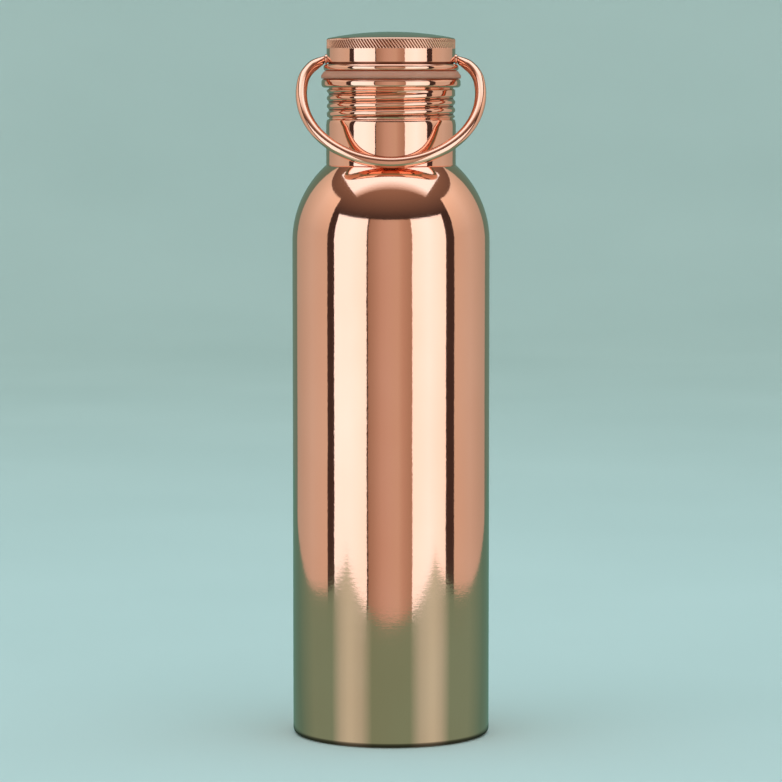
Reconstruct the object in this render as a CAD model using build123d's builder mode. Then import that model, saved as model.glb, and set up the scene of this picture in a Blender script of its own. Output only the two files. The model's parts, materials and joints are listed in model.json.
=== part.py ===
from build123d import *

import os
from math import asin, atan2, cos, degrees, radians, sin, sqrt

# Copper water bottle with a screw cap and a swinging carry ring.
# Millimetres. +Z is up, the origin is the centre of the base, and the ring hangs on the -Y side.

# Sheet
wall = 0.6

# Body: straight cylinder, one shoulder arc tangent to it, sharp corner at the neck
body_radius = 37.5
base_corner_radius = 2.0
standing_ring_inner_radius = 30.5
shoulder_start_z = 188.5
shoulder_arc_radius = 39.0

# Base disc, brazed on the turned-in lip of the body and pressed upwards in the middle
base_disc_radius = body_radius - base_corner_radius
base_step_radius = 28.0
base_recess_height = 2.6
base_step_run = 2.0
base_step_fillet = 0.3

# Neck collar
neck_radius = 24.6
collar_tail = 4.0
thread_zone_bottom_z = 235.0
thread_zone_top_z = 245.4
thread_zone_taper = 1.0
thread_root_radius = 23.6
thread_bore_radius = 22.9
mouth_bore_radius = 23.7
mouth_z = 250.1
mouth_outer_radius = 24.6
bead_radius = 26.4
bead_height = 3.4
bead_corner_radius = 1.3

# Rolled right-hand thread; it starts over +X at thread_start_z
thread_pitch = 2.95
thread_start_z = 235.3
ridge_turns = 3.7
ridge_crest_radius = 24.35
ridge_crest_half_width = 0.45
groove_bottom_radius = 23.5
groove_bottom_half_width = 0.35
thread_flank_slope = 0.7
thread_bite = 0.3

# Cap plug: flange over the gasket and a threaded cup inside the neck
flange_bottom_z = 252.9
flange_top_z = 255.6
flange_radius = 25.6
flange_edge_radius = 1.3
plug_radius = 22.5
plug_bottom_z = 237.2
plug_corner_radius = 1.2
plug_thread_turns = 2.6
plug_thread_crest_radius = 23.25
plug_thread_crest_half_width = 0.15
cap_seat_radius = 24.1
spigot_top_z = 258.0

# Gasket between the flange and the mouth bead
gasket_bore_radius = 22.8
gasket_top_radius = 25.5
gasket_bulge_radius = 26.7
gasket_bottom_radius = 26.2
gasket_bulge_share = 0.3

# Cap shell
cap_radius = 24.4
cap_bottom_z = 255.8
cap_top_z = 267.8
cap_dome_radius = 120.0
cap_corner_radius = 1.0

# Carry ring: bent wire whose turned-down ends swing in two eyelets in the cap wall
pivot_z = 257.5
wire_radius = 2.15
wire_end_radius = 1.55
pin_radius = 1.1
pin_inner_end = 21.8
pin_outer_end = 26.5
ring_length = 47.1
ring_half_width = 33.75
ring_widest = 15.5
ring_side_radius = 30.0
ring_corner_radius = 13.0
ring_corner_start = 10.0
ring_taper_start = 50.0
ring_corner_end = 72.0
ring_end_x = 25.15
ring_rest_gap = 0.3

# Eyelets
eyelet_bore_radius = 1.15
eyelet_barrel_radius = 1.45
eyelet_head_radius = 1.85
eyelet_head_end = 25.05
eyelet_head_fillet = 0.25
eyelet_clinch_radius = 1.95
eyelet_clinch_start = 23.1
spigot_notch_radius = 2.5

# Worked-out places
shoulder_centre_x = body_radius - shoulder_arc_radius
neck_foot_z = shoulder_start_z + sqrt(shoulder_arc_radius**2 - (neck_radius - shoulder_centre_x) ** 2)
cap_dome_centre_z = cap_top_z - cap_dome_radius
ring_tilt = degrees(asin((neck_radius + wire_radius + ring_rest_gap) / ring_length))


def shoulder_height(arc_radius, x):
    """Height of the shoulder arc of this radius, or of its inner offset, over radius x."""
    return shoulder_start_z + sqrt(arc_radius**2 - (x - shoulder_centre_x) ** 2)


def shoulder_arc(arc_radius, x):
    """Shoulder arc from the cylinder up to radius x."""
    end_angle = degrees(atan2(shoulder_height(arc_radius, x) - shoulder_start_z, x - shoulder_centre_x))
    return CenterArc((shoulder_centre_x, shoulder_start_z), arc_radius, 0, end_angle)


def thread_section(tip_radius, tip_half_width, base_radius, z):
    """Corners of a thread's section, from its wide base to its narrow tip, centred on height z."""
    base_half_width = tip_half_width + thread_flank_slope * abs(tip_radius - base_radius)
    return [
        (base_radius, z - base_half_width),
        (tip_radius, z - tip_half_width),
        (tip_radius, z + tip_half_width),
        (base_radius, z + base_half_width),
    ]


# Body shell: drawn tube with its shoulder spun in and its lower edge turned in
with BuildPart() as body_shell:
    with BuildSketch(Plane.XZ):
        with BuildLine():
            mouth_outer = shoulder_arc(shoulder_arc_radius, neck_radius)
            mouth_inner = shoulder_arc(shoulder_arc_radius - wall, neck_radius)
            Line(mouth_outer @ 1, mouth_inner @ 1)
            corner_centre = (body_radius - base_corner_radius, base_corner_radius)
            corner_outer = CenterArc(corner_centre, base_corner_radius, -90, 90)
            corner_inner = CenterArc(corner_centre, base_corner_radius - wall, -90, 90)
            Line(corner_outer @ 1, mouth_outer @ 0)
            Line(corner_inner @ 1, mouth_inner @ 0)
            Polyline(
                corner_outer @ 0,
                (standing_ring_inner_radius, 0),
                (standing_ring_inner_radius, wall),
                corner_inner @ 0,
            )
        make_face()
    revolve(axis=Axis.Z)
body_shell.part.label = "body_shell"

# Base disc: flat rim on the turned-in lip, pressed upwards inside it
with BuildPart() as base_disc:
    with BuildSketch(Plane.XZ):
        with BuildLine():
            Polyline(
                (0, wall + base_recess_height),
                (base_step_radius - base_step_run, wall + base_recess_height),
                (base_step_radius, wall),
                (base_disc_radius, wall),
                (base_disc_radius, 2 * wall),
                (base_step_radius + wall / 2, 2 * wall),
                (base_step_radius - base_step_run + wall / 2, 2 * wall + base_recess_height),
                (0, 2 * wall + base_recess_height),
                close=True,
            )
        make_face()
    revolve(axis=Axis.Z)
    fillet(base_disc.edges().filter_by(GeomType.CIRCLE).group_by(SortBy.RADIUS)[-2], base_step_fillet)
base_disc.part.label = "base_disc"

# Neck collar: sleeve with a rolled mouth bead and a rolled thread
with BuildPart() as neck_collar:
    with BuildSketch(Plane.YZ):
        with BuildLine():
            Polyline(
                (neck_radius, neck_foot_z - collar_tail),
                (neck_radius, thread_zone_bottom_z - thread_zone_taper),
                (thread_root_radius, thread_zone_bottom_z),
                (thread_root_radius, thread_zone_top_z),
                (mouth_outer_radius, thread_zone_top_z + thread_zone_taper),
                (mouth_outer_radius, mouth_z - bead_height / 2),
                (mouth_bore_radius, mouth_z - bead_height / 2),
                (mouth_bore_radius, thread_zone_top_z + thread_zone_taper),
                (thread_bore_radius, thread_zone_top_z),
                (thread_bore_radius, thread_zone_bottom_z),
                (neck_radius - wall, thread_zone_bottom_z - thread_zone_taper),
                (neck_radius - wall, neck_foot_z - collar_tail),
                close=True,
            )
        make_face()
        with Locations(((mouth_bore_radius + bead_radius) / 2, mouth_z - bead_height / 2)):
            RectangleRounded(bead_radius - mouth_bore_radius, bead_height, bead_corner_radius)
    revolve(axis=Axis.Z)
    with BuildLine() as thread_path:
        Helix(thread_pitch, ridge_turns * thread_pitch, thread_root_radius, center=(0, 0, thread_start_z))
    with BuildSketch(Plane.XZ):
        ridge_base_radius = thread_root_radius - thread_bite
        Polygon(
            *thread_section(ridge_crest_radius, ridge_crest_half_width, ridge_base_radius, thread_start_z),
            align=None,
        )
    sweep(path=thread_path.line, is_frenet=True)
    with BuildSketch(Plane.XZ):
        groove_mouth_radius = thread_bore_radius - thread_bite
        Polygon(
            *thread_section(
                groove_bottom_radius, groove_bottom_half_width, groove_mouth_radius, thread_start_z
            ),
            align=None,
        )
    sweep(path=thread_path.line, is_frenet=True, mode=Mode.SUBTRACT)
neck_collar.part.label = "neck_collar"

# Cap plug: rounded flange, seat and spigot for the cap shell, and a threaded cup closed at the bottom
with BuildPart() as cap_plug:
    with BuildSketch(Plane.XZ):
        with BuildLine():
            Polyline(
                (0, plug_bottom_z),
                (plug_radius, plug_bottom_z),
                (plug_radius, flange_bottom_z),
                (flange_radius, flange_bottom_z),
                (flange_radius, flange_top_z),
                (cap_seat_radius, flange_top_z),
                (cap_seat_radius, cap_bottom_z),
                (cap_radius - wall, cap_bottom_z),
                (cap_radius - wall, spigot_top_z),
                (cap_radius - 2 * wall, spigot_top_z),
                (cap_radius - 2 * wall, cap_bottom_z),
                (plug_radius - wall, flange_top_z),
                (plug_radius - wall, plug_bottom_z + wall),
                (0, plug_bottom_z + wall),
                close=True,
            )
        make_face()
    revolve(axis=Axis.Z)
    fillet(cap_plug.edges().filter_by(GeomType.CIRCLE).group_by(SortBy.RADIUS)[-1], flange_edge_radius)
    fillet(cap_plug.edges().filter_by(GeomType.CIRCLE).group_by(Axis.Z)[0], plug_corner_radius)
    plug_thread_z = thread_start_z + thread_pitch
    with BuildLine() as plug_thread_path:
        Helix(thread_pitch, plug_thread_turns * thread_pitch, plug_radius, center=(0, 0, plug_thread_z))
    with BuildSketch(Plane.XZ):
        Polygon(
            *thread_section(
                plug_thread_crest_radius,
                plug_thread_crest_half_width,
                plug_radius - thread_bite,
                plug_thread_z,
            ),
            align=None,
        )
    sweep(path=plug_thread_path.line, is_frenet=True)
    with BuildSketch(Plane.YZ):
        with Locations((0, pivot_z)):
            Circle(spigot_notch_radius)
    extrude(amount=cap_radius, both=True, mode=Mode.SUBTRACT)
cap_plug.part.label = "cap_plug"

# Gasket: soft ring squeezed out a little below its middle
with BuildPart() as gasket:
    with BuildSketch(Plane.XZ):
        with BuildLine():
            bulge_z = mouth_z + gasket_bulge_share * (flange_bottom_z - mouth_z)
            side = Spline(
                (gasket_bottom_radius, mouth_z),
                (gasket_bulge_radius, bulge_z),
                (gasket_top_radius, flange_bottom_z),
            )
            Polyline(side @ 1, (gasket_bore_radius, flange_bottom_z), (gasket_bore_radius, mouth_z), side @ 0)
        make_face()
    revolve(axis=Axis.Z)
gasket.part.label = "gasket"

# Cap shell: domed drawn cap, open below, with two eyelet holes
with BuildPart() as cap_shell:
    with BuildSketch(Plane.XZ) as cap_section:
        with BuildLine():
            dome_angle = degrees(asin(cap_radius / cap_dome_radius))
            dome = CenterArc((0, cap_dome_centre_z), cap_dome_radius, 90 - dome_angle, dome_angle)
            Polyline(dome @ 0, (cap_radius, cap_bottom_z), (0, cap_bottom_z), dome @ 1)
        make_face()
        fillet(cap_section.vertices().group_by(Axis.X)[-1].sort_by(Axis.Y)[-1], cap_corner_radius)
    revolve(axis=Axis.Z)
    offset(amount=-wall, openings=cap_shell.faces().sort_by(Axis.Z)[0])
    with BuildSketch(Plane.YZ):
        with Locations((0, pivot_z)):
            Circle(eyelet_barrel_radius)
    extrude(amount=cap_radius + wall, both=True, mode=Mode.SUBTRACT)
cap_shell.part.label = "cap_shell"

# Carry ring: the path lies in the ring's own plane, u along +X and v down its length from the pivot.
# The wire tapers towards its two tips, and a pin goes on from each tip into the cap.
ring_plane = Plane(
    origin=(0, 0, pivot_z),
    x_dir=(1, 0, 0),
    z_dir=(0, cos(radians(ring_tilt)), -sin(radians(ring_tilt))),
)
ring_side_centre_u = ring_half_width - ring_side_radius
ring_bottom_drop = ring_length - ring_widest
ring_bottom_radius = (ring_side_radius**2 - ring_bottom_drop**2 - ring_side_centre_u**2) / (
    2 * (ring_side_radius - ring_bottom_drop)
)
ring_bottom_centre_v = ring_length - ring_bottom_radius
ring_join_angle = degrees(atan2(ring_widest - ring_bottom_centre_v, ring_side_centre_u))
ring_corner_reach = ring_side_radius - ring_corner_radius
ring_corner_centre = (
    ring_side_centre_u + ring_corner_reach * cos(radians(ring_corner_start)),
    ring_widest - ring_corner_reach * sin(radians(ring_corner_start)),
)
with BuildPart() as ring_tips:
    with BuildLine(ring_plane) as tip_path:
        CenterArc(
            ring_corner_centre, ring_corner_radius, -ring_corner_end, ring_corner_end - ring_taper_start
        )
    with BuildSketch(Plane(origin=tip_path.line @ 0, z_dir=tip_path.line % 0)):
        Circle(wire_end_radius)
    with BuildSketch(Plane(origin=tip_path.line @ 1, z_dir=tip_path.line % 1)):
        Circle(wire_radius)
    sweep(path=tip_path.line, multisection=True)
    split(bisect_by=Plane.YZ.offset(ring_end_x), keep=Keep.TOP)
    with BuildSketch(Plane.YZ.offset(pin_inner_end)):
        with Locations((0, pivot_z)):
            Circle(pin_radius)
    extrude(amount=pin_outer_end - pin_inner_end)
    mirror(about=Plane.YZ)

with BuildPart() as handle_ring:
    with BuildLine(ring_plane) as ring_path:
        CenterArc(
            ring_corner_centre, ring_corner_radius, -ring_taper_start, ring_taper_start - ring_corner_start
        )
        CenterArc(
            (ring_side_centre_u, ring_widest),
            ring_side_radius,
            -ring_corner_start,
            ring_corner_start + ring_join_angle,
        )
        CenterArc((0, ring_bottom_centre_v), ring_bottom_radius, ring_join_angle, 90 - ring_join_angle)
        mirror(about=Plane.YZ)
    with BuildSketch(Plane(origin=ring_path.line @ 0, z_dir=ring_path.line % 0)):
        Circle(wire_radius)
    sweep(path=ring_path.line)
    add(ring_tips.part)
handle_ring.part.label = "handle_ring"


# Eyelets: flanged bushes through the cap wall, clinched over inside, one on each side
def build_eyelet(side):
    """Eyelet on the +X side (1) or the -X side (-1)."""
    with BuildPart() as bush:
        with BuildSketch(Plane.YZ.offset(side * (cap_radius - wall / 2))):
            with Locations((0, pivot_z)):
                Circle(eyelet_head_radius)
        extrude(amount=side * (eyelet_head_end - cap_radius + wall / 2))
        fillet(bush.edges().sort_by(lambda edge: side * edge.center().X)[-1], eyelet_head_fillet)
        with BuildSketch(Plane.YZ.offset(side * eyelet_clinch_start)):
            with Locations((0, pivot_z)):
                Circle(eyelet_clinch_radius)
        extrude(amount=side * (cap_radius - wall / 2 - eyelet_clinch_start))
        with BuildSketch(Plane.XY.offset(pivot_z - eyelet_clinch_radius - wall)):
            Circle(cap_radius)
            Circle(cap_radius - wall, mode=Mode.SUBTRACT)
        extrude(amount=2 * (eyelet_clinch_radius + wall), mode=Mode.SUBTRACT)
        with BuildSketch(Plane.YZ.offset(side * (eyelet_clinch_start + wall / 2))):
            with Locations((0, pivot_z)):
                Circle(eyelet_barrel_radius)
        extrude(amount=side * (cap_radius - eyelet_clinch_start))
        with BuildSketch(Plane.YZ):
            with Locations((0, pivot_z)):
                Circle(eyelet_bore_radius)
        extrude(amount=side * (eyelet_head_end + wall), mode=Mode.SUBTRACT)
    return bush.part


eyelet_right = build_eyelet(1)
eyelet_right.label = "eyelet_right"
eyelet_left = build_eyelet(-1)
eyelet_left.label = "eyelet_left"

os.makedirs("parts", exist_ok=True)
export_step(body_shell.part, "parts/body_shell.step")
export_step(base_disc.part, "parts/base_disc.step")
export_step(neck_collar.part, "parts/neck_collar.step")
export_step(cap_plug.part, "parts/cap_plug.step")
export_step(gasket.part, "parts/gasket.step")
export_step(cap_shell.part, "parts/cap_shell.step")
export_step(handle_ring.part, "parts/handle_ring.step")
export_step(eyelet_right, "parts/eyelet_right.step")
export_step(eyelet_left, "parts/eyelet_left.step")
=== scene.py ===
import json
import math

import bpy
import numpy as np
from mathutils import Matrix, Vector


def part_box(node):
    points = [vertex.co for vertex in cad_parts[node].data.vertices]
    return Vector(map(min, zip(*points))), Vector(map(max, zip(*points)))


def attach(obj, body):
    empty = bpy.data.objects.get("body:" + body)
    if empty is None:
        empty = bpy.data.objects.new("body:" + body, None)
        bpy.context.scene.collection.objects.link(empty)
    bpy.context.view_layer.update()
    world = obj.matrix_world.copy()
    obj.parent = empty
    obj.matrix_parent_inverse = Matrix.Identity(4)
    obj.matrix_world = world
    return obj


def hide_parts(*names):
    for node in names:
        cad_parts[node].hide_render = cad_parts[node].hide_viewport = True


# Copper water bottle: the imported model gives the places, and this script gives the looks.
# Outlines are in millimetres, (radius, height) pairs, and every mesh is made in metres.

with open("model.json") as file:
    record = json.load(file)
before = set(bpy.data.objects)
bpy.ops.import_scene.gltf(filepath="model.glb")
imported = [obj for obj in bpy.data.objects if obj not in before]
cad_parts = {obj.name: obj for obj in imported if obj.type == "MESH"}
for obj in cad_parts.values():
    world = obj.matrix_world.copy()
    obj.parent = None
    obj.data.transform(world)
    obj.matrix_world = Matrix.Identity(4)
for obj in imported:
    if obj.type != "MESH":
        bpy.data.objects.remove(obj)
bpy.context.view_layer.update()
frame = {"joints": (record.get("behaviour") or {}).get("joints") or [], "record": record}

MM = 0.001
TURN = 2 * math.pi


def node_box(node):
    """Lowest and highest corner of a CAD node, in millimetres."""
    low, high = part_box(node)
    return low / MM, high / MM


body_high = node_box("body_shell")[1]
neck_low, neck_high = node_box("neck_collar")
gasket_low, gasket_high = node_box("gasket")
plug_low, plug_high = node_box("cap_plug")
cap_low, cap_high = node_box("cap_shell")
ring_high = node_box("handle_ring")[1]
eyelet_low, eyelet_high = node_box("eyelet_right")
base_low, base_high = node_box("base_disc")
joints = {joint["name"]: joint for joint in frame["joints"]}

# Sheet
wall = 0.6
lip_rounding = 0.25

# Body
body_radius = body_high.x
base_corner = 2.0
standing_ring_inner = 30.5
shoulder_arc = 39.0
shoulder_centre = body_radius - shoulder_arc
shoulder_start = 188.5

# Unevenness of the body sheet: (height of the wave, waves round the axis, radians per mm up, phase)
polish_waves = [
    (0.010, 2, 0.031, 0.6),
    (0.006, 5, -0.052, 0.0),
    (0.0035, 11, 0.09, 1.3),
    (0.0022, 17, -0.21, 0.0),
    (0.0012, 3, 0.55, 0.0),
    (0.0012, 2, 0.9, 0.0),
]

# Base disc
base_step_radius = 28.0
base_step_run = 2.0

# Neck collar
neck_radius = 24.6
neck_foot = body_high.z
collar_tail = neck_foot - neck_low.z
mouth_z = neck_high.z
bead_radius = neck_high.x
bead_height = 3.4
bead_corner = 1.3
mouth_bore = 23.7
sleeve_rounding_start = 232.2
rolled_bottom = 234.3
rolled_top = mouth_z - bead_height + 0.25
foot_valley_z = 235.0
bead_valley_z = mouth_z - bead_height - 0.25
valley_half_width = 0.8
valley_depth = 0.8
rolled_radius = 24.35

# Rolled thread: the ridges pass over +X at thread_phase_z, with the grooves half a pitch higher
thread_pitch = TURN * frame["record"]["behaviour"]["couplings"][0]["ratio"] / MM
thread_phase_z = 235.3
groove_depth = 0.78
groove_sharpness = 3.2
groove_first_turn = -0.45
groove_last_turn = 2.82
groove_fade_turns = 0.10
# Share of the groove's depth beyond which its faces take the near-black painted shade material.
groove_shade_start = 0.86

# Cap plug
plug_radius = 22.5
plug_wall = 0.8
plug_ridge_height = 0.75
plug_ridge_half_width = 0.6
plug_ridge_turns = (1.0, 3.6)
flange_bottom = gasket_high.z
flange_top = 255.6
flange_radius = plug_high.x
flange_edge = 1.3
seat_radius = 23.4
spigot_radius = 23.2
spigot_top = 256.6

# Cap shell
cap_radius = cap_high.x
cap_bottom = cap_low.z
cap_gap = 0.45
cap_top = cap_high.z
cap_dome = 120.0
cap_corner = 1.0
knurl_bottom = 261.4
knurl_top = 265.0
knurl_fade = 0.2
knurl_teeth = 128
knurl_depth = 0.42
knurl_flat = 0.45
knurl_floor = 0.88
# Share of the knurl's depth beyond which its faces take the near-black painted shade material.
knurl_shade_start = 0.45
knurl_slant = math.radians(36)

# Gasket
gasket_bore = 22.8
gasket_foot_radius = 26.35
gasket_bulge_radius = 26.75
gasket_bulge_rise = 0.9
gasket_neck_radius = 25.75
gasket_neck_drop = 0.6
gasket_top_radius = 25.35

# Carry ring
pivot_z = joints["ring_swing"]["pos_m"][2] / MM
wire_radius = 2.15
wire_end_radius = 1.55
wire_end_rounding = 0.25
pin_radius = 1.1
pin_start = 21.8
pin_rounding = 0.25
ring_end_x = 25.15
ring_length = 47.1
ring_half_width = ring_high.x - wire_radius
ring_widest = 15.5
ring_side_radius = 30.0
ring_corner_radius = 13.0
ring_corner_start = math.radians(10)
ring_taper_start = math.radians(46)
ring_rest_gap = 0.3
ring_tilt = math.asin((neck_radius + wire_radius + ring_rest_gap) / ring_length)

# Eyelets
eyelet_bore = 1.15
eyelet_barrel = 1.45
eyelet_head = 1.85
eyelet_clinch = eyelet_high.y
eyelet_start = eyelet_low.x
eyelet_end = eyelet_high.x

# Mesh fineness
round_segments = 320
knurl_segments = knurl_teeth * 8
wire_segments = 48
row_gap = 5.0
support_gap = 0.35
arc_step = math.radians(4)


# ---------------------------------------------------------------- outlines
def arc(centre, radius, start, end, step=arc_step):
    """Points on an arc from angle start to angle end, in degrees, anticlockwise or clockwise."""
    start, end = math.radians(start), math.radians(end)
    count = max(2, math.ceil(abs(end - start) / step))
    angles = [start + (end - start) * i / count for i in range(count + 1)]
    return [(centre[0] + radius * math.cos(a), centre[1] + radius * math.sin(a)) for a in angles]


def rounded(corners, closed=False):
    """Outline through (r, z, rounding) corners, with each rounding turned into an arc."""
    points = []
    count = len(corners)
    for i, (r, z, rounding) in enumerate(corners):
        is_end = not closed and i in (0, count - 1)
        if rounding <= 0 or is_end:
            points.append((r, z))
            continue
        here = Vector((r, z))
        before = Vector(corners[i - 1][:2]) - here
        after = Vector(corners[(i + 1) % count][:2]) - here
        half = before.angle(after) / 2
        reach = rounding / math.tan(half)
        start = here + before.normalized() * reach
        end = here + after.normalized() * reach
        centre = here + (before.normalized() + after.normalized()).normalized() * rounding / math.sin(half)
        first, last = start - centre, end - centre
        sweep = -first.angle_signed(last)
        steps = max(3, math.ceil(abs(sweep) / arc_step))
        for k in range(steps + 1):
            turned = Matrix.Rotation(sweep * k / steps, 2) @ first
            points.append(tuple(centre + turned))
    return points


def spaced(points, closed=False, gap=row_gap):
    """The outline with its long runs divided, and held by a point close to each of their ends."""
    result = []
    pairs = list(zip(points, points[1:] + points[:1])) if closed else list(zip(points, points[1:]))
    for (r0, z0), (r1, z1) in pairs:
        length = math.hypot(r1 - r0, z1 - z0)
        if length < 1e-6:
            continue
        shares = [0.0]
        if length > 4 * support_gap:
            inner = length - 2 * support_gap
            count = max(1, math.ceil(inner / gap))
            shares += [(support_gap + inner * i / count) / length for i in range(count + 1)]
        result += [(r0 + (r1 - r0) * s, z0 + (z1 - z0) * s) for s in shares]
    if not closed:
        result.append(points[-1])
    return result


def outward_normals(points, closed):
    """Unit normals of the outline, to the right of its direction."""
    p = np.array(points, float)
    if closed:
        along = np.roll(p, -1, 0) - np.roll(p, 1, 0)
    else:
        along = np.vstack([p[1] - p[0], p[2:] - p[:-2], p[-1] - p[-2]])
    normal = np.stack([along[:, 1], -along[:, 0]], 1)
    return normal / np.maximum(np.linalg.norm(normal, axis=1, keepdims=True), 1e-12)


# ---------------------------------------------------------------- meshes
def mesh_object(name, vertices, faces, face_materials=None):
    """Smooth-shaded object in metres from vertices in millimetres."""
    mesh = bpy.data.meshes.new(name)
    mesh.from_pydata((np.asarray(vertices, float) * MM).tolist(), [], faces)
    mesh.update()
    mesh.polygons.foreach_set("use_smooth", [True] * len(mesh.polygons))
    if face_materials is not None:
        mesh.polygons.foreach_set("material_index", face_materials)
    mesh.update()
    piece = bpy.data.objects.new(name, mesh)
    bpy.context.scene.collection.objects.link(piece)
    return piece


def revolve(name, outline, segments=round_segments, closed=False, relief=None, inner_rows=(0, 0)):
    """Turned piece. The outline runs so that the metal is on its left: up on the outside.
    An open outline starts and ends on the axis. relief(r, z, angle, normals) raises the surface along
    its normal. Faces that start from the outline points of inner_rows take the second material."""
    points = np.array(outline, float)
    normals = outward_normals(outline, closed)
    angles = TURN * np.arange(segments) / segments
    radii = np.repeat(points[:, :1], segments, 1)
    heights = np.repeat(points[:, 1:], segments, 1)
    if relief is not None:
        rise = relief(radii, heights, np.repeat(angles[None, :], len(points), 0), normals)
        radii = radii + rise * normals[:, :1]
        heights = heights + rise * normals[:, 1:]
    on_axis = points[:, 0] < 1e-6
    vertices, row_start = [], []
    for i in range(len(points)):
        row_start.append(len(vertices))
        if on_axis[i]:
            vertices.append((0.0, 0.0, points[i, 1]))
            continue
        x = radii[i] * np.cos(angles)
        y = radii[i] * np.sin(angles)
        vertices.extend(zip(x.tolist(), y.tolist(), heights[i].tolist()))
    faces, materials = [], []
    rows = len(points) if closed else len(points) - 1
    for i in range(rows):
        j = (i + 1) % len(points)
        a, b = row_start[i], row_start[j]
        material = 1 if inner_rows[0] <= i < inner_rows[1] else 0
        for k in range(segments):
            n = (k + 1) % segments
            if on_axis[i]:
                faces.append((a, b + n, b + k))
            elif on_axis[j]:
                faces.append((a + k, a + n, b))
            else:
                faces.append((a + k, a + n, b + n, b + k))
            materials.append(material)
    return mesh_object(name, vertices, faces, materials)


def tube(name, centres, sides, ups, radii, segments=wire_segments):
    """Closed tube through the centres. Each section lies in the plane of its side and up vectors."""
    angles = TURN * np.arange(segments) / segments
    vertices = []
    for centre, side, up, radius in zip(centres, sides, ups, radii):
        for a in angles:
            offset = side * (math.cos(a) * radius) + up * (math.sin(a) * radius)
            vertices.append(tuple(centre + offset))
    faces = []
    count = len(centres)
    for i in range(count - 1):
        for k in range(segments):
            n = (k + 1) % segments
            faces.append((i * segments + k, i * segments + n, (i + 1) * segments + n, (i + 1) * segments + k))
    first, last = len(vertices), len(vertices) + 1
    vertices += [tuple(centres[0]), tuple(centres[-1])]
    for k in range(segments):
        n = (k + 1) % segments
        faces.append((first, n, k))
        faces.append((last, (count - 1) * segments + k, (count - 1) * segments + n))
    return mesh_object(name, vertices, faces)


# ---------------------------------------------------------------- surface relief
def smooth_step(value, start, end):
    share = np.clip((value - start) / (end - start), 0, 1)
    return share * share * (3 - 2 * share)


def helix_turns(z, angle, offset_pitches):
    """Signed distance to the nearest turn of the helix, in pitches, and the turns from its start to there."""
    along = (z - thread_phase_z) / thread_pitch - offset_pitches - angle / TURN
    nearest = np.round(along)
    return along - nearest, nearest + angle / TURN


def thread_groove(z, angle):
    """Share of the rolled grooves' depth at this place, from 0 between them to 1 at their bottom."""
    distance, turns = helix_turns(z, angle, 0.5)
    groove = np.cos(math.pi * distance) ** groove_sharpness
    fade = groove_fade_turns
    begun = smooth_step(turns, groove_first_turn - fade, groove_first_turn + fade)
    present = begun * smooth_step(turns, groove_last_turn + fade, groove_last_turn - fade)
    above = smooth_step(z, rolled_bottom, rolled_bottom + 1.0)
    in_zone = above * smooth_step(z, rolled_top, rolled_top - 0.6)
    return groove * present * in_zone


def rolled_thread(r, z, angle, normals):
    """Grooves rolled into the neck: they go inwards on the outer face and on the inner face alike."""
    faces_out = np.sign(normals[:, :1]) * (np.abs(normals[:, :1]) > 0.3)
    return -groove_depth * thread_groove(z, angle) * faces_out


def plug_ridge(r, z, angle, normals):
    """Ridge of the plug's thread, on the outer face of its cup."""
    distance, turns = helix_turns(z, angle, 0.0)
    reach = plug_ridge_half_width / thread_pitch
    ridge = np.clip(1 - np.abs(distance) / reach, 0, 1)
    ridge = ridge * ridge * (3 - 2 * ridge)
    first, last = plug_ridge_turns
    present = smooth_step(turns, first, first + 0.1) * smooth_step(turns, last, last - 0.1)
    on_cup = (np.abs(r - plug_radius) < 0.01) & (z > plug_low.z) & (z < flange_bottom)
    return plug_ridge_height * ridge * present * on_cup


def knurl_groove(z, angle):
    """Share of the knurl's depth at this place: 0 on a tooth and outside the band, 1 in a groove."""
    above = smooth_step(z, knurl_bottom, knurl_bottom + knurl_fade)
    band = above * smooth_step(z, knurl_top, knurl_top - knurl_fade)
    phase = knurl_teeth * (angle + z * math.tan(knurl_slant) / cap_radius) / TURN
    share = np.abs(2 * (phase - np.floor(phase)) - 1)
    return smooth_step(share, knurl_flat, knurl_floor) * band


def knurl(r, z, angle, normals):
    """Slanting grooves round the top of the cap."""
    outside = (normals[:, :1] > 0) & (r > cap_radius - cap_corner)
    return -knurl_depth * knurl_groove(z, angle) * outside


def hand_polish(r, z, angle, normals):
    """Slow unevenness of the sheet's outer face, at most 0.025 mm high."""
    outside = normals[:, :1] > 0.2
    wave = 0.0
    for height, round_axis, upwards, phase in polish_waves:
        wave = wave + height * np.sin(round_axis * angle + upwards * z + phase)
    return wave * outside


# ---------------------------------------------------------------- materials
def new_material(name):
    material = bpy.data.materials.new(name)
    material.use_nodes = True
    nodes, links = material.node_tree.nodes, material.node_tree.links
    nodes.clear()
    output = nodes.new("ShaderNodeOutputMaterial")
    shader = nodes.new("ShaderNodeBsdfPrincipled")
    links.new(shader.outputs["BSDF"], output.inputs["Surface"])
    return material, nodes, links, shader


def noise(nodes, links, vector, scale, detail=2.0, roughness=0.5):
    node = nodes.new("ShaderNodeTexNoise")
    node.inputs["Scale"].default_value = scale
    node.inputs["Detail"].default_value = detail
    node.inputs["Roughness"].default_value = roughness
    links.new(vector, node.inputs["Vector"])
    return node.outputs["Fac"]


def ramp(nodes, links, factor, stops):
    node = nodes.new("ShaderNodeValToRGB")
    elements = node.color_ramp.elements
    while len(elements) < len(stops):
        elements.new(0.5)
    for element, (position, colour) in zip(elements, stops):
        element.position = position
        element.color = (*colour, 1)
    links.new(factor, node.inputs["Fac"])
    return node.outputs["Color"]


def remap(nodes, links, factor, low, high):
    node = nodes.new("ShaderNodeMapRange")
    node.inputs["To Min"].default_value = low
    node.inputs["To Max"].default_value = high
    links.new(factor, node.inputs["Value"])
    return node.outputs["Result"]


def stretched(nodes, links, scale):
    """Object coordinates, in metres, stretched by axis."""
    coordinates = nodes.new("ShaderNodeTexCoord")
    mapping = nodes.new("ShaderNodeMapping")
    mapping.inputs["Scale"].default_value = scale
    links.new(coordinates.outputs["Object"], mapping.inputs["Vector"])
    return mapping.outputs["Vector"]


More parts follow.
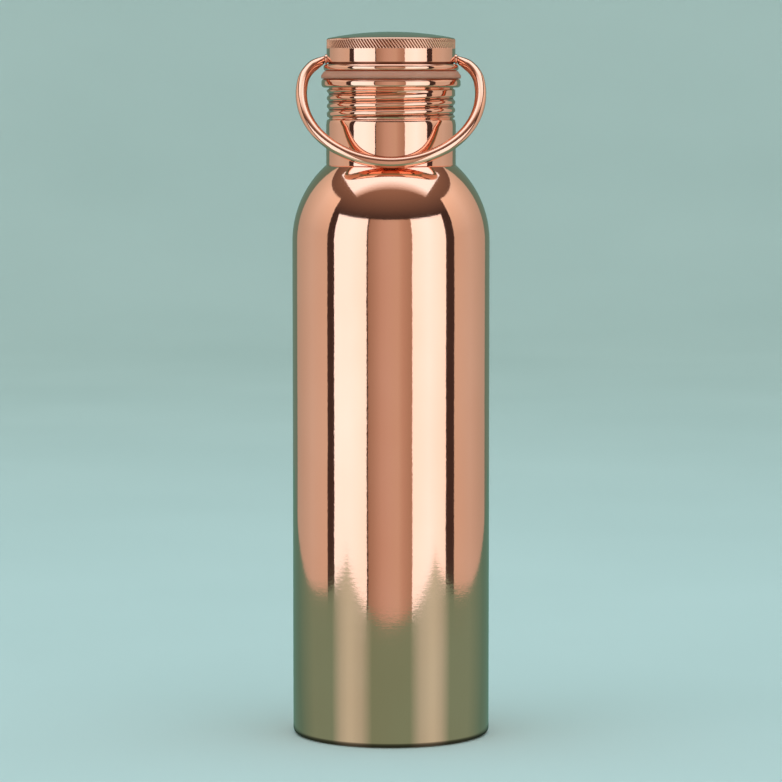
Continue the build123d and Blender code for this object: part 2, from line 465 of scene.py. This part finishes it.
def copper(name, tone, deep_tone, roughness, line_strength, anisotropy):
    """Copper with fine polishing lines round the axis, patches of tone and an uneven gloss."""
    material, nodes, links, shader = new_material(name)
    shader.inputs["Metallic"].default_value = 1.0
    shader.inputs["Anisotropic"].default_value = anisotropy
    shader.inputs["Anisotropic Rotation"].default_value = 0.25
    tangent = nodes.new("ShaderNodeTangent")
    tangent.direction_type = "RADIAL"
    tangent.axis = "Z"
    links.new(tangent.outputs["Tangent"], shader.inputs["Tangent"])
    patches = noise(nodes, links, stretched(nodes, links, (1, 1, 0.6)), 26, 3)
    links.new(ramp(nodes, links, patches, [(0.30, deep_tone), (0.62, tone)]), shader.inputs["Base Color"])
    rough_patches = noise(nodes, links, stretched(nodes, links, (1, 1, 6)), 60, 4)
    links.new(
        remap(nodes, links, rough_patches, roughness * 0.7, roughness * 1.35), shader.inputs["Roughness"]
    )
    lines = noise(nodes, links, stretched(nodes, links, (6, 6, 900)), 3.0, 4, 0.6)
    line_bump = nodes.new("ShaderNodeBump")
    line_bump.inputs["Strength"].default_value = line_strength
    line_bump.inputs["Distance"].default_value = 0.00002
    links.new(lines, line_bump.inputs["Height"])
    peel = noise(nodes, links, stretched(nodes, links, (1.4, 1.4, 1.6)), 520, 3)
    peel_bump = nodes.new("ShaderNodeBump")
    peel_bump.inputs["Strength"].default_value = 0.7
    peel_bump.inputs["Distance"].default_value = 0.00001
    links.new(peel, peel_bump.inputs["Height"])
    links.new(line_bump.outputs["Normal"], peel_bump.inputs["Normal"])
    links.new(peel_bump.outputs["Normal"], shader.inputs["Normal"])
    return material


def silicone_material(name):
    """Cloudy soft silicone."""
    material, nodes, links, shader = new_material(name)
    vector = stretched(nodes, links, (1, 1, 1))
    clouds = noise(nodes, links, vector, 90, 3)
    links.new(
        ramp(nodes, links, clouds, [(0.3, (0.60, 0.24, 0.15)), (0.7, (0.70, 0.30, 0.19))]),
        shader.inputs["Base Color"],
    )
    grain = noise(nodes, links, vector, 2600, 2)
    links.new(remap(nodes, links, grain, 0.34, 0.5), shader.inputs["Roughness"])
    shader.inputs["Subsurface Weight"].default_value = 0.5
    shader.inputs["Subsurface Radius"].default_value = (0.9, 0.6, 0.5)
    shader.inputs["Subsurface Scale"].default_value = 0.0015
    shader.inputs["IOR"].default_value = 1.42
    bump = nodes.new("ShaderNodeBump")
    bump.inputs["Strength"].default_value = 0.15
    bump.inputs["Distance"].default_value = 0.00003
    links.new(grain, bump.inputs["Height"])
    links.new(bump.outputs["Normal"], shader.inputs["Normal"])
    return material


copper_tone = (0.955, 0.520, 0.370)
copper_deep = (0.925, 0.480, 0.330)
polished = copper("polished_copper", copper_tone, copper_deep, 0.06, 0.10, 0.5)
bright = copper("bright_copper", copper_tone, copper_deep, 0.055, 0.10, 0.3)
wire_copper = copper("wire_copper", copper_tone, copper_deep, 0.09, 0.10, 0.0)
raw = copper("raw_copper", (0.88, 0.44, 0.29), (0.74, 0.33, 0.20), 0.30, 0.5, 0.4)
# Near-black copper that is painted shade: it stands in for the dark reflections and shade in the thread and
# knurl grooves and in the crease under the cap.
painted_shade = copper("painted_shade_copper", (0.32, 0.12, 0.07), (0.20, 0.07, 0.04), 0.32, 0.4, 0.3)
silicone = silicone_material("gasket_silicone")


def finish_piece(piece, body, nodes, materials):
    """Material, body and replaced CAD nodes of a piece."""
    for material in materials:
        piece.data.materials.append(material)
    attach(piece, body)
    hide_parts(*nodes)
    return piece


def paint_groove_shade(piece, groove, start):
    """Third material, a near-black painted shade, on the outer faces where the groove is deeper than start.
    """
    for face in piece.data.polygons:
        centre = face.center / MM
        if face.material_index == 0 and groove(centre.z, math.atan2(centre.y, centre.x)) > start:
            face.material_index = 2


# ---------------------------------------------------------------- pieces
def shoulder_end(radius):
    """Angle, in degrees, at which a shoulder arc of this radius reaches the neck."""
    return math.degrees(math.acos((neck_radius - shoulder_centre) / radius))


def make_body():
    centre = (shoulder_centre, shoulder_start)
    corner = (body_radius - base_corner, base_corner)
    shoulder_step = arc_step / 4
    outside = arc(corner, base_corner, -90, 0)
    outside += arc(centre, shoulder_arc, 0, shoulder_end(shoulder_arc), shoulder_step)
    inside = arc(centre, shoulder_arc - wall, shoulder_end(shoulder_arc - wall), 0, shoulder_step)
    inside += arc(corner, base_corner - wall, 0, -90)
    inside += [(standing_ring_inner, wall), (standing_ring_inner, 0.0)]
    outside, inside = spaced(outside), spaced(inside)
    rows = (len(outside), len(outside) + len(inside) - 1)
    piece = revolve("body_copper", outside + inside, closed=True, relief=hand_polish, inner_rows=rows)
    return finish_piece(piece, "bottle", ["body_shell"], [polished, raw])


def make_base():
    rim = body_radius - base_corner
    step, run = base_step_radius, base_step_run
    top, bottom = base_high.z, base_low.z
    outline = rounded(
        [
            (0, top - wall, 0),
            (step - run, top - wall, 1.0),
            (step, bottom, 0.8),
            (rim, bottom, 0.2),
            (rim, bottom + wall, 0.2),
            (step + wall / 2, bottom + wall, 0.8),
            (step - run + wall / 2, top, 1.0),
            (0, top, 0),
        ]
    )
    outline = spaced(outline)
    inside = next(i for i, (r, z) in enumerate(outline) if r > rim - 0.3 and z > bottom + wall / 2)
    piece = revolve("base_copper", outline, inner_rows=(inside, len(outline)))
    return finish_piece(piece, "bottle", ["base_disc"], [polished, raw])


def valley(z, centre):
    """Depth, from 0 to 1, of a ring-shaped valley at this height."""
    share = min(1.0, abs(z - centre) / valley_half_width)
    return math.cos(share * math.pi / 2) ** 2


def collar_radius(z):
    """Outer radius of the collar between its foot and the mouth bead, without the thread."""
    rolled = smooth_step(z, rolled_bottom, rolled_bottom + 0.7)
    radius = neck_radius + (rolled_radius - neck_radius) * float(rolled)
    share = (z - sleeve_rounding_start) / (foot_valley_z - sleeve_rounding_start)
    sleeve_end = 1 - math.sqrt(1 - share * share) if 0 < share < 1 else 0.0
    return radius - valley_depth * max(sleeve_end, valley(z, foot_valley_z), valley(z, bead_valley_z))


def make_neck():
    foot = neck_foot - collar_tail
    fine_step = 0.12
    rows = math.ceil((rolled_top - sleeve_rounding_start) / fine_step)
    heights = [sleeve_rounding_start + i * fine_step for i in range(rows)]
    bead_low_z = mouth_z - bead_height
    bead_side = bead_radius - bead_corner
    bore_side = mouth_bore + bead_corner
    outside = spaced([(neck_radius, foot), (neck_radius, heights[0] - fine_step)])
    outside += [(collar_radius(z), z) for z in heights]
    bead = arc((bead_side - 0.2, bead_low_z + bead_corner), bead_corner, -90, -75)
    bead += arc((bead_side, bead_low_z + bead_corner), bead_corner, -75, 0)
    bead += arc((bead_side, mouth_z - bead_corner), bead_corner, 0, 90)
    bead += arc((bore_side, mouth_z - bead_corner), bead_corner, 90, 180)
    inside = [(collar_radius(z) - wall, z) for z in reversed(heights) if z < bead_valley_z]
    inside += spaced([(neck_radius - wall, heights[0] - fine_step), (neck_radius - wall, foot)])
    below_bead = [(mouth_bore, bead_valley_z + 1.0), (mouth_bore - 0.15, bead_valley_z + 0.4)]
    outline = outside + bead + below_bead + inside
    rows = (len(outside) + len(bead), len(outline) - 1)
    piece = revolve("neck_copper", outline, closed=True, relief=rolled_thread, inner_rows=rows)
    # Painted shade on the bottoms of the rolled thread grooves.
    paint_groove_shade(piece, thread_groove, groove_shade_start)
    return finish_piece(piece, "bottle", ["neck_collar"], [bright, raw, painted_shade])


def make_plug():
    outline = rounded(
        [
            (0, plug_low.z, 0),
            (plug_radius, plug_low.z, 1.2),
            (plug_radius, flange_bottom, 0.2),
            (flange_radius, flange_bottom, flange_edge),
            (flange_radius, flange_top, flange_edge),
            (seat_radius, flange_top, 0.08),
            (seat_radius, cap_bottom, 0.05),
            (spigot_radius, cap_bottom, 0.05),
            (spigot_radius, spigot_top, 0.1),
            (spigot_radius - wall, spigot_top, 0.1),
            (plug_radius - plug_wall, flange_top, 0.4),
            (plug_radius - plug_wall, plug_low.z + plug_wall, 0.8),
            (0, plug_low.z + plug_wall, 0),
        ]
    )
    fine = []
    for point in spaced(outline, gap=2.0):
        previous = fine[-1] if fine else point
        on_cup = abs(point[0] - plug_radius) < 0.01 and abs(previous[0] - plug_radius) < 0.01
        rise = point[1] - previous[1]
        steps = math.ceil(rise / 0.15) if on_cup and rise > 0.2 else 1
        fine += [(point[0], previous[1] + rise * k / steps) for k in range(1, steps)]
        fine.append(point)
    # The seat round the spigot takes the near-black material: painted shade for the crease between the cap's
    # lip and the flange.
    seat = [i for i, (r, z) in enumerate(fine) if z > flange_top - 0.02 and r > spigot_radius - wall]
    piece = revolve("plug_copper", fine, relief=plug_ridge, inner_rows=(seat[0], seat[-1]))
    return finish_piece(piece, "cap", ["cap_plug"], [bright, painted_shade])


def make_gasket():
    low, high = gasket_low.z, gasket_high.z
    outline = rounded(
        [
            (gasket_bore, high, 0.2),
            (gasket_bore, low, 0.2),
            (gasket_foot_radius, low, 0.5),
            (gasket_bulge_radius, low + gasket_bulge_rise, 1.4),
            (gasket_neck_radius, high - gasket_neck_drop, 2.0),
            (gasket_top_radius, high, 0.25),
        ],
        closed=True,
    )
    piece = revolve("gasket_ring", spaced(outline, closed=True), closed=True)
    return finish_piece(piece, "gasket", ["gasket"], [silicone])


def make_cap():
    dome_centre = (0.0, cap_top - cap_dome)
    corner_r = cap_radius - cap_corner
    corner_z = dome_centre[1] + math.sqrt((cap_dome - cap_corner) ** 2 - corner_r**2)
    dome_angle = math.degrees(math.atan2(corner_z - dome_centre[1], corner_r))
    dome_step = arc_step / 8
    inside = arc(dome_centre, cap_dome - wall, 90, dome_angle, dome_step)
    inside += arc((corner_r, corner_z), cap_corner - wall, dome_angle, 0)
    edge = rounded(
        [
            (cap_radius - wall, corner_z - 0.3, 0),
            (cap_radius - wall, cap_bottom + cap_gap, 0.12),
            (cap_radius, cap_bottom + cap_gap, lip_rounding),
            (cap_radius, knurl_bottom - 0.3, 0),
        ]
    )
    inside = spaced(inside[:-1] + edge[:2])
    band = np.arange(knurl_bottom - 0.3, corner_z, 0.1)
    outside = spaced(edge[2:-1]) + [(cap_radius, z) for z in band]
    outside += arc((corner_r, corner_z), cap_corner, 0, dome_angle, arc_step / 2)
    outside += arc(dome_centre, cap_dome, dome_angle, 90, dome_step)[1:]
    piece = revolve("cap_copper", inside + outside, knurl_segments, relief=knurl, inner_rows=(0, len(inside)))
    # Painted shade in the knurl's grooves.
    paint_groove_shade(piece, knurl_groove, knurl_shade_start)
    return finish_piece(piece, "cap", ["cap_shell"], [polished, raw, painted_shade])


def ring_path():
    """Centre line of the ring's right half, from its tip: (u across, v down from the pivot, wire radius)."""
    side_u = ring_half_width - ring_side_radius
    drop = ring_length - ring_widest
    bottom_radius = (ring_side_radius**2 - drop**2 - side_u**2) / (2 * (ring_side_radius - drop))
    bottom_v = ring_length - bottom_radius
    join = math.degrees(math.atan2(ring_widest - bottom_v, side_u))
    reach = ring_side_radius - ring_corner_radius
    corner = (side_u + reach * math.cos(ring_corner_start), ring_widest - reach * math.sin(ring_corner_start))
    tip_angle = math.acos((ring_end_x - corner[0]) / ring_corner_radius)
    start = math.degrees(ring_corner_start)
    fine = math.radians(1.2)
    points = arc(corner, ring_corner_radius, -math.degrees(tip_angle), -start, fine)
    points += arc((side_u, ring_widest), ring_side_radius, -start, join, fine)[1:]
    points += arc((0, bottom_v), bottom_radius, join, 90, fine)[1:]
    path = []
    for u, v in points:
        angle = math.atan2(corner[1] - v, u - corner[0])
        full = float(smooth_step(angle, tip_angle, ring_taper_start))
        path.append((u, v, wire_end_radius + (wire_radius - wire_end_radius) * full))
    return path


def make_handle():
    """Ring of round wire. Each tip ends in a flat face with a pin that goes on into the cap."""
    down = Vector((0, -math.sin(ring_tilt), -math.cos(ring_tilt)))
    across = Vector((1, 0, 0))
    flat_normal = across.cross(down)
    pivot = Vector((0, 0, pivot_z))
    half = ring_path()
    mirrored = [(-u, v, radius) for u, v, radius in reversed(half[:-1])]
    wire = [(pivot + across * u + down * v, radius) for u, v, radius in half + mirrored]

    def tip(side):
        """Sections across the pin and the wire's end face, from the pin's tip outwards."""
        way = across * side
        end_drop = down * half[0][1]
        end = wire_end_radius
        rounding = wire_end_rounding
        made = [(pin_start, pin_radius - pin_rounding), (pin_start + 0.08, pin_radius - 0.08)]
        made += [(pin_start + pin_rounding, pin_radius), (pin_start + 0.6, pin_radius)]
        made += [(ring_end_x - 0.3, pin_radius), (ring_end_x - 0.02, pin_radius)]
        sections = [(pivot + way * x, way, radius) for x, radius in made]
        for step in range(4):
            a = math.radians(30 * step)
            x = ring_end_x + rounding * (1 - math.cos(a))
            radius = end - rounding + rounding * math.sin(a)
            sections.append((pivot + way * x + end_drop, way, radius))
        return sections

    skipped = 4
    sections = tip(1)
    for i in range(skipped, len(wire) - skipped):
        direction = (wire[i + 1][0] - wire[i - 1][0]).normalized()
        if i == skipped:
            direction = (direction + across).normalized()
        if i == len(wire) - skipped - 1:
            direction = (direction + across).normalized()
        sections.append((wire[i][0], direction, wire[i][1]))
    sections += [(centre, -way, radius) for centre, way, radius in reversed(tip(-1))]
    centres = [section[0] for section in sections]
    sides = [flat_normal.cross(section[1]).normalized() for section in sections]
    radii = [section[2] for section in sections]
    piece = tube("ring_wire", centres, sides, [flat_normal] * len(sections), radii)
    return finish_piece(piece, "handle", ["handle_ring"], [wire_copper])


def make_eyelet(side, node):
    inner_wall = cap_radius - wall
    outline = rounded(
        [
            (eyelet_bore, eyelet_start, 0.1),
            (eyelet_clinch, eyelet_start, 0.25),
            (eyelet_clinch, inner_wall - 0.1, 0.05),
            (eyelet_barrel, inner_wall - 0.1, 0.05),
            (eyelet_barrel, cap_radius - 0.1, 0.05),
            (eyelet_head, cap_radius - 0.1, 0.05),
            (eyelet_head, eyelet_end, 0.28),
            (eyelet_bore, eyelet_end, 0.12),
        ],
        closed=True,
    )
    piece = revolve(f"{node}_copper", spaced(outline, closed=True), segments=64, closed=True)
    quarter = Matrix.Rotation(side * math.pi / 2, 4, "Y")
    piece.data.transform(Matrix.Translation((0, 0, pivot_z * MM)) @ quarter)
    piece.data.update()
    return finish_piece(piece, "cap", [node], [bright])


make_body()
make_base()
make_neck()
make_plug()
make_gasket()
make_cap()
make_handle()
make_eyelet(1, "eyelet_right")
make_eyelet(-1, "eyelet_left")


# ---------------------------------------------------------------- stage
def glow_material(name, colour, strength):
    material = bpy.data.materials.new(name)
    material.use_nodes = True
    nodes, links = material.node_tree.nodes, material.node_tree.links
    nodes.clear()
    output = nodes.new("ShaderNodeOutputMaterial")
    shader = nodes.new("ShaderNodeEmission")
    shader.inputs["Color"].default_value = (*colour, 1)
    shader.inputs["Strength"].default_value = strength
    links.new(shader.outputs["Emission"], output.inputs["Surface"])
    return material


def graded_glow(name, axis, low, high, stops):
    """Glow whose colour changes between two places on an axis, in metres; a stop is (place, colour)."""
    material = glow_material(name, (1, 1, 1), 1.0)
    nodes, links = material.node_tree.nodes, material.node_tree.links
    coordinates = nodes.new("ShaderNodeTexCoord")
    parts = nodes.new("ShaderNodeSeparateXYZ")
    links.new(coordinates.outputs["Object"], parts.inputs["Vector"])
    share = nodes.new("ShaderNodeMapRange")
    share.inputs["From Min"].default_value = low
    share.inputs["From Max"].default_value = high
    links.new(parts.outputs[axis], share.inputs["Value"])
    places = [((place - low) / (high - low), colour) for place, colour in stops]
    colours = ramp(nodes, links, share.outputs["Result"], places)
    emission = next(node for node in nodes if node.type == "EMISSION")
    links.new(colours, emission.inputs["Color"])
    return material


def brighten_upwards(material, low, high, gain):
    """Makes a glow stronger with height, from 1 at low to gain at high, in metres."""
    nodes, links = material.node_tree.nodes, material.node_tree.links
    parts = next(node for node in nodes if node.type == "SEPXYZ")
    strength = nodes.new("ShaderNodeMapRange")
    strength.inputs["From Min"].default_value = low
    strength.inputs["From Max"].default_value = high
    strength.inputs["To Min"].default_value = 1.0
    strength.inputs["To Max"].default_value = gain
    links.new(parts.outputs["Z"], strength.inputs["Value"])
    emission = next(node for node in nodes if node.type == "EMISSION")
    links.new(strength.outputs["Result"], emission.inputs["Strength"])


def stage_object(name, vertices, faces, material, seen, reflected, lights):
    """Stage mesh that the camera sees, that shows in reflections, or that lights the scene."""
    mesh = bpy.data.meshes.new(name)
    mesh.from_pydata(vertices, [], faces)
    mesh.update()
    piece = bpy.data.objects.new(name, mesh)
    bpy.context.scene.collection.objects.link(piece)
    piece.data.materials.append(material)
    piece.visible_camera = seen
    piece.visible_glossy = reflected
    piece.visible_transmission = reflected
    piece.visible_diffuse = lights
    piece.visible_shadow = seen
    return piece


def curved_panel(name, azimuths, heights, distance, glow, lights=False):
    """Upright panel on a circle round the bottle. Azimuth 0 is in front, and positive is to the right."""
    count = 16
    vertices = []
    for i in range(count + 1):
        a = math.radians(azimuths[0] + (azimuths[1] - azimuths[0]) * i / count)
        x, y = distance * math.sin(a), -distance * math.cos(a)
        vertices += [(x, y, heights[0]), (x, y, heights[1])]
    faces = [(2 * i, 2 * i + 2, 2 * i + 3, 2 * i + 1) for i in range(count)]
    return stage_object(name, vertices, faces, glow, False, True, lights)


def paper_material(name, low, high, roughness, gloss):
    """Paper with a faint cloud of tone."""
    material, nodes, links, shader = new_material(name)
    cloud = noise(nodes, links, stretched(nodes, links, (1, 1, 1)), 3, 2)
    links.new(ramp(nodes, links, cloud, [(0.35, low), (0.65, high)]), shader.inputs["Base Color"])
    shader.inputs["Roughness"].default_value = roughness
    shader.inputs["Specular IOR Level"].default_value = gloss
    return material


def make_cove():
    """Pale floor that turns up softly all round, far outside every view's camera."""
    flat, rise, top = 1.9, 1.6, 3.4
    rows = [(0.5, 0.0), (1.2, 0.0), (flat, 0.0)]
    turn_up = np.linspace(0.05, math.pi / 2, 24)
    rows += [(flat + rise * math.sin(a), rise - rise * math.cos(a)) for a in turn_up]
    rows += [(flat + rise, top)]
    segments = 96
    vertices = [(0.0, 0.0, 0.0)]
    angles = [TURN * k / segments for k in range(segments)]
    for r, z in rows:
        vertices += [(r * math.cos(a), r * math.sin(a), z) for a in angles]
    faces = [(0, 1 + k, 1 + (k + 1) % segments) for k in range(segments)]
    for i in range(len(rows) - 1):
        p, q = 1 + i * segments, 1 + (i + 1) * segments
        faces += [(p + k, q + k, q + (k + 1) % segments, p + (k + 1) % segments) for k in range(segments)]
    paper = paper_material("pale_paper", (0.60, 0.73, 0.69), (0.63, 0.76, 0.72), 1.0, 0.0)
    cove = stage_object("floor_cove", vertices, faces, paper, True, False, True)
    cove.data.polygons.foreach_set("use_smooth", [True] * len(cove.data.polygons))


def sheet_material():
    """Satin sheet as it glows back: khaki, with a soft light streak towards each of the two softboxes.
    The streaks keep to the azimuth of the rays that the body throws there, which leave its surface and
    not its axis: azimuth / (1 - body radius / (2 * distance)). Close to the body the sheet is in shadow."""
    shade, half_lit, streak = (0.195, 0.36, 0.27), (0.44, 0.63, 0.56), (0.53, 0.75, 0.67)
    side, far_side = (0.19, 0.365, 0.285), (0.11, 0.265, 0.215)
    stops = [(22, shade), (35, half_lit), (47, streak), (52, streak), (61, half_lit), (74, side)]
    stops += [(105, side), (140, far_side)]
    material = glow_material("satin_sheet", (1, 1, 1), 1.0)
    nodes, links = material.node_tree.nodes, material.node_tree.links

    def calculate(operation, first, second):
        """Output of a Math node; an input is a number or another node's output."""
        node = nodes.new("ShaderNodeMath")
        node.operation = operation
        for socket, value in zip(node.inputs, (first, second)):
            if isinstance(value, float):
                socket.default_value = value
            else:
                links.new(value, socket)
        return node.outputs["Value"]

    coordinates = nodes.new("ShaderNodeTexCoord")
    parts = nodes.new("ShaderNodeSeparateXYZ")
    links.new(coordinates.outputs["Object"], parts.inputs["Vector"])
    reach = nodes.new("ShaderNodeVectorMath")
    reach.operation = "LENGTH"
    links.new(coordinates.outputs["Object"], reach.inputs[0])
    distance = reach.outputs["Value"]
    sideways = calculate("ABSOLUTE", parts.outputs["X"], 0.0)
    forwards = calculate("MULTIPLY", parts.outputs["Y"], -1.0)
    azimuth = calculate("ARCTAN2", sideways, forwards)
    lag = calculate("SUBTRACT", 1.0, calculate("DIVIDE", body_radius * MM / 2, distance))
    share = nodes.new("ShaderNodeMapRange")
    share.inputs["From Max"].default_value = math.pi
    links.new(calculate("DIVIDE", azimuth, lag), share.inputs["Value"])
    colours = ramp(nodes, links, share.outputs["Result"], [(angle / 180, colour) for angle, colour in stops])
    shadow = nodes.new("ShaderNodeMapRange")
    shadow.inputs["From Min"].default_value = body_radius * MM
    shadow.inputs["From Max"].default_value = 1.22 * body_radius * MM
    shadow.inputs["To Min"].default_value = 0.12
    links.new(distance, shadow.inputs["Value"])
    emission = next(node for node in nodes if node.type == "EMISSION")
    links.new(colours, emission.inputs["Color"])
    links.new(shadow.outputs["Result"], emission.inputs["Strength"])
    return material


def make_sheet():
    """Khaki sheet under the bottle that only reflections see. It ends in front and at both sides."""
    half_width, front, back, height = 0.435, -0.352, 0.9, 0.0001
    corners = [(-half_width, front), (half_width, front), (half_width, back), (-half_width, back)]
    vertices = [(x, y, height) for x, y in corners]
    stage_object("satin_sheet", vertices, [(0, 1, 2, 3)], sheet_material(), False, True, False)


def make_room():
    """What the bottle mirrors: two softboxes, the front and side walls, dark gaps and an overhead softbox."""
    far, low, high = 2.0, -1.3, 1.16

    def across(azimuth):
        """X of the panels' place at this azimuth."""
        return far * math.sin(math.radians(azimuth))

    soft_inner, soft_outer = (1.30, 1.50, 1.60), (1.30, 1.62, 1.83)
    stops = [(across(25), soft_inner), (across(45), soft_outer), (across(66), (1.30, 1.42, 1.48))]
    soft_right = graded_glow("softbox_right", "X", across(25), across(66), stops)
    stops = [(across(-47), soft_outer), (across(-29), soft_inner)]
    soft_left = graded_glow("softbox_left", "X", across(-70), across(-29), stops)
    front_stops = [
        (across(-28), (0.35, 0.26, 0.20)),
        (across(-20), (0.44, 0.35, 0.29)),
        (across(-11), (0.56, 0.46, 0.40)),
        (across(-3), (0.60, 0.51, 0.45)),
        (across(8), (0.61, 0.53, 0.45)),
        (across(14), (0.53, 0.42, 0.35)),
        (across(25), (0.41, 0.32, 0.25)),
    ]
    front = graded_glow("front_wall", "X", across(-28), across(25), front_stops)
    curved_panel("softbox_right", (24.5, 66.5), (low, high), far, soft_right, True)
    curved_panel("softbox_left", (-69, -28.2), (low, high), far, soft_left, True)
    curved_panel("front_wall", (-26.5, 24.5), (low, high), far, front)
    side_stops = [
        (-across(12), (0.68, 0.63, 0.55)),
        (across(15), (0.63, 0.62, 0.57)),
        (across(33), (0.54, 0.52, 0.46)),
        (across(52), (0.46, 0.44, 0.38)),
    ]
    side = graded_glow("side_wall", "Y", -across(12), across(52), side_stops)
    brighten_upwards(side, 0.4, 1.6, 1.45)
    curved_panel("wall_right", (78.5, 142), (low, 1.8), far, side)
    curved_panel("wall_left", (-142, -79), (low, 1.8), far, side)
    backdrop = glow_material("backdrop", (0.14, 0.26, 0.215), 1.0)
    curved_panel("backdrop", (142, 218), (low, 2.6), far, backdrop)
    left, right, near, back, height = -1.0, 1.0, -0.68, 0.55, 1.45
    full = near + 0.30
    overhead_stops = [(near, (0.34, 0.26, 0.21)), (near + 0.11, (0.80, 0.78, 0.76)), (full, soft_outer)]
    overhead = graded_glow("softbox_overhead", "Y", near, full, overhead_stops)
    corners = [(left, near), (left, back), (right, back), (right, near)]
    vertices = [(x, y, height) for x, y in corners]
    stage_object("softbox_overhead", vertices, [(0, 1, 2, 3)], overhead, False, True, True)


def make_dark_room():
    """Dome round everything: dark at eye level, and lighter towards the ceiling."""
    radius, segments = 8.0, 48
    rows = [math.radians(e) for e in range(-80, 81, 10)]
    vertices = [(0.0, 0.0, -radius)]
    for e in rows:
        ring = [TURN * k / segments for k in range(segments)]
        vertices += [
            (radius * math.cos(e) * math.cos(a), radius * math.cos(e) * math.sin(a), radius * math.sin(e))
            for a in ring
        ]
    vertices.append((0.0, 0.0, radius))
    last = len(vertices) - 1
    faces = [(0, 1 + (k + 1) % segments, 1 + k) for k in range(segments)]
    for i in range(len(rows) - 1):
        p, q = 1 + i * segments, 1 + (i + 1) * segments
        faces += [(p + k, p + (k + 1) % segments, q + (k + 1) % segments, q + k) for k in range(segments)]
    top = 1 + (len(rows) - 1) * segments
    faces += [(top + k, top + (k + 1) % segments, last) for k in range(segments)]
    eye_level, ceiling = radius * math.sin(math.radians(28)), radius * math.sin(math.radians(60))
    stops = [(eye_level, (0.055, 0.042, 0.040)), (ceiling, (0.30, 0.21, 0.16))]
    dark = graded_glow("dark_room", "Z", eye_level, ceiling, stops)
    stage_object("dark_room", vertices, faces, dark, False, True, False)


def make_light():
    """Soft white light all round; the colours stay as they are in the render."""
    world = bpy.data.worlds.new("studio")
    world.use_nodes = True
    background = world.node_tree.nodes["Background"]
    background.inputs["Color"].default_value = (0.74, 0.76, 0.76, 1)
    background.inputs["Strength"].default_value = 1.0
    bpy.context.scene.world = world
    bpy.context.scene.view_settings.view_transform = "Standard"


def make_camera():
    """Long lens at the height of the mouth, looking slightly down at the middle of the bottle."""
    distance, eye_height, aim_height = 1.378, 0.250, 0.1313
    camera = bpy.data.objects.new("camera", bpy.data.cameras.new("camera"))
    camera.data.sensor_width = 36.0
    camera.data.lens = 166.8
    camera.location = (0, -distance, eye_height)
    way = Vector((0, 0, aim_height)) - camera.location
    camera.rotation_mode = "QUATERNION"
    camera.rotation_quaternion = way.to_track_quat("-Z", "Y")
    bpy.context.scene.collection.objects.link(camera)
    bpy.context.scene.camera = camera


make_cove()
make_sheet()
make_room()
make_dark_room()
make_light()
make_camera()
